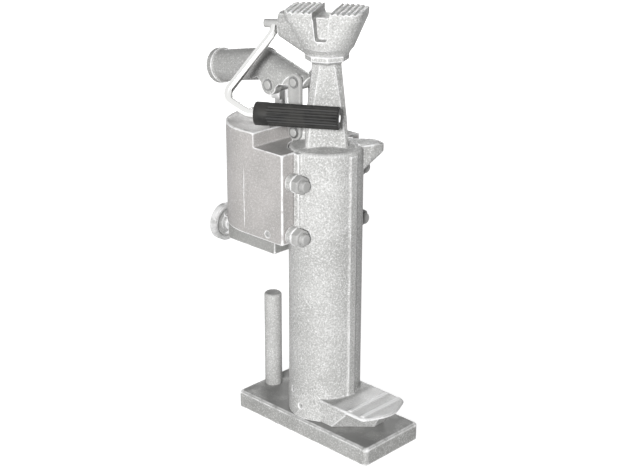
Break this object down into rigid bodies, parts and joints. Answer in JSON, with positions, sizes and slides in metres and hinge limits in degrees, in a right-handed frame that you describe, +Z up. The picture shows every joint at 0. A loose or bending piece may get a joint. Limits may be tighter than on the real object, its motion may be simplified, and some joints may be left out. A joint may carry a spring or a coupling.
{
  "type": "railroad track jack",
  "caption": "Hydraulic railroad track jack: rising body with a low toe, pump housing and lever socket, swivelling load cap, hinged carrying handle and plate base.",
  "frame": {"origin": "on the axis of the ram, at the bottom face of the base plate", "axes": "+Z up along the ram, +X towards the lifting toe, the pump housing and lever lie towards -X"},
  "size_m": [0.3815, 0.1981, 0.6639],
  "materials": {
    "silver_paint": "aluminium paint over rough castings, worn",
    "bright_steel": "turned and ground steel",
    "plated_rod": "bright plated rod",
    "dark_steel": "dull dark steel",
    "bronze": "bearing bronze",
    "copper_pipe": "drawn copper alloy tube",
    "black_seal": "moulded sealing rubber",
    "gasket": "pressed gasket sheet",
    "black_rubber": "ribbed black rubber"
  },
  "bodies": {
    "base": {"base_plate": "silver_paint", "base_post": "silver_paint", "ram": "bright_steel", "ram_lock_screw": "dark_steel", "piston": "bright_steel", "piston_seal": "black_seal", "piston_screw": "dark_steel"},
    "jack_body": {"body_casting": "silver_paint", "cylinder_liner": "bright_steel", "guide_bush": "bronze", "wiper_ring": "black_seal", "lock_screws": "dark_steel", "pump_housing": "silver_paint", "housing_gasket": "gasket", "housing_studs": "silver_paint", "housing_nuts": "silver_paint", "filler_plug": "silver_paint", "level_plug": "silver_paint", "pump_block": "silver_paint", "block_gasket": "gasket", "block_screws": "dark_steel", "pump_cylinder": "bright_steel", "delivery_pipe": "copper_pipe", "valve_balls": "bright_steel", "valve_springs": "dark_steel", "valve_plugs": "dark_steel", "plunger_seal": "black_seal", "plunger_gland": "silver_paint", "release_gland": "silver_paint", "side_plate_near": "silver_paint", "side_plate_far": "silver_paint", "fulcrum_pin": "silver_paint", "link_pin": "silver_paint", "plate_clips": "dark_steel"},
    "plunger": {"pump_plunger": "bright_steel"},
    "lever": {"lever_socket": "silver_paint", "plunger_pin": "silver_paint", "plunger_clips": "dark_steel"},
    "release": {"release_spindle": "bright_steel", "release_knob": "silver_paint", "knob_pin": "dark_steel"},
    "load_cap": {"load_cap": "silver_paint", "cap_screw": "dark_steel", "pivot_lock_pin": "dark_steel"},
    "handle": {"handle_pivot": "bright_steel", "handle_rod": "plated_rod", "handle_grip": "black_rubber"}
  },
  "joints": [
    {"name": "lift_slide", "type": "slide", "parent": "base", "child": "jack_body", "axis": [0, 0, 1], "range_m": [0, 0.127]},
    {"name": "lever_swing", "type": "hinge", "parent": "jack_body", "child": "lever", "pos_m": [-0.0435, 0, 0.5513], "axis": [0, 1, 0], "range_deg": [0, 35]},
    {"name": "plunger_slide", "type": "slide", "parent": "jack_body", "child": "plunger", "axis": [0, 0, 1], "range_m": [0, 0.0318]},
    {"name": "release_turn", "type": "hinge", "parent": "jack_body", "child": "release", "pos_m": [-0.19, -0.032, 0.3002], "axis": [-1, 0, 0], "range_deg": [0, 180]},
    {"name": "cap_swivel", "type": "hinge", "parent": "jack_body", "child": "load_cap", "pos_m": [0, 0, 0.5984], "axis": [0, 0, 1], "range_deg": [-12, 135]},
    {"name": "handle_swing", "type": "hinge", "parent": "load_cap", "child": "handle", "pos_m": [0, 0, 0.6376], "axis": [-0.8572, -0.515, 0], "range_deg": [0, 150]}
  ],
  "couplings": [
    {"joint": "plunger_slide", "follows": "lever_swing", "m_per_rad": 0.0518}
  ]
}
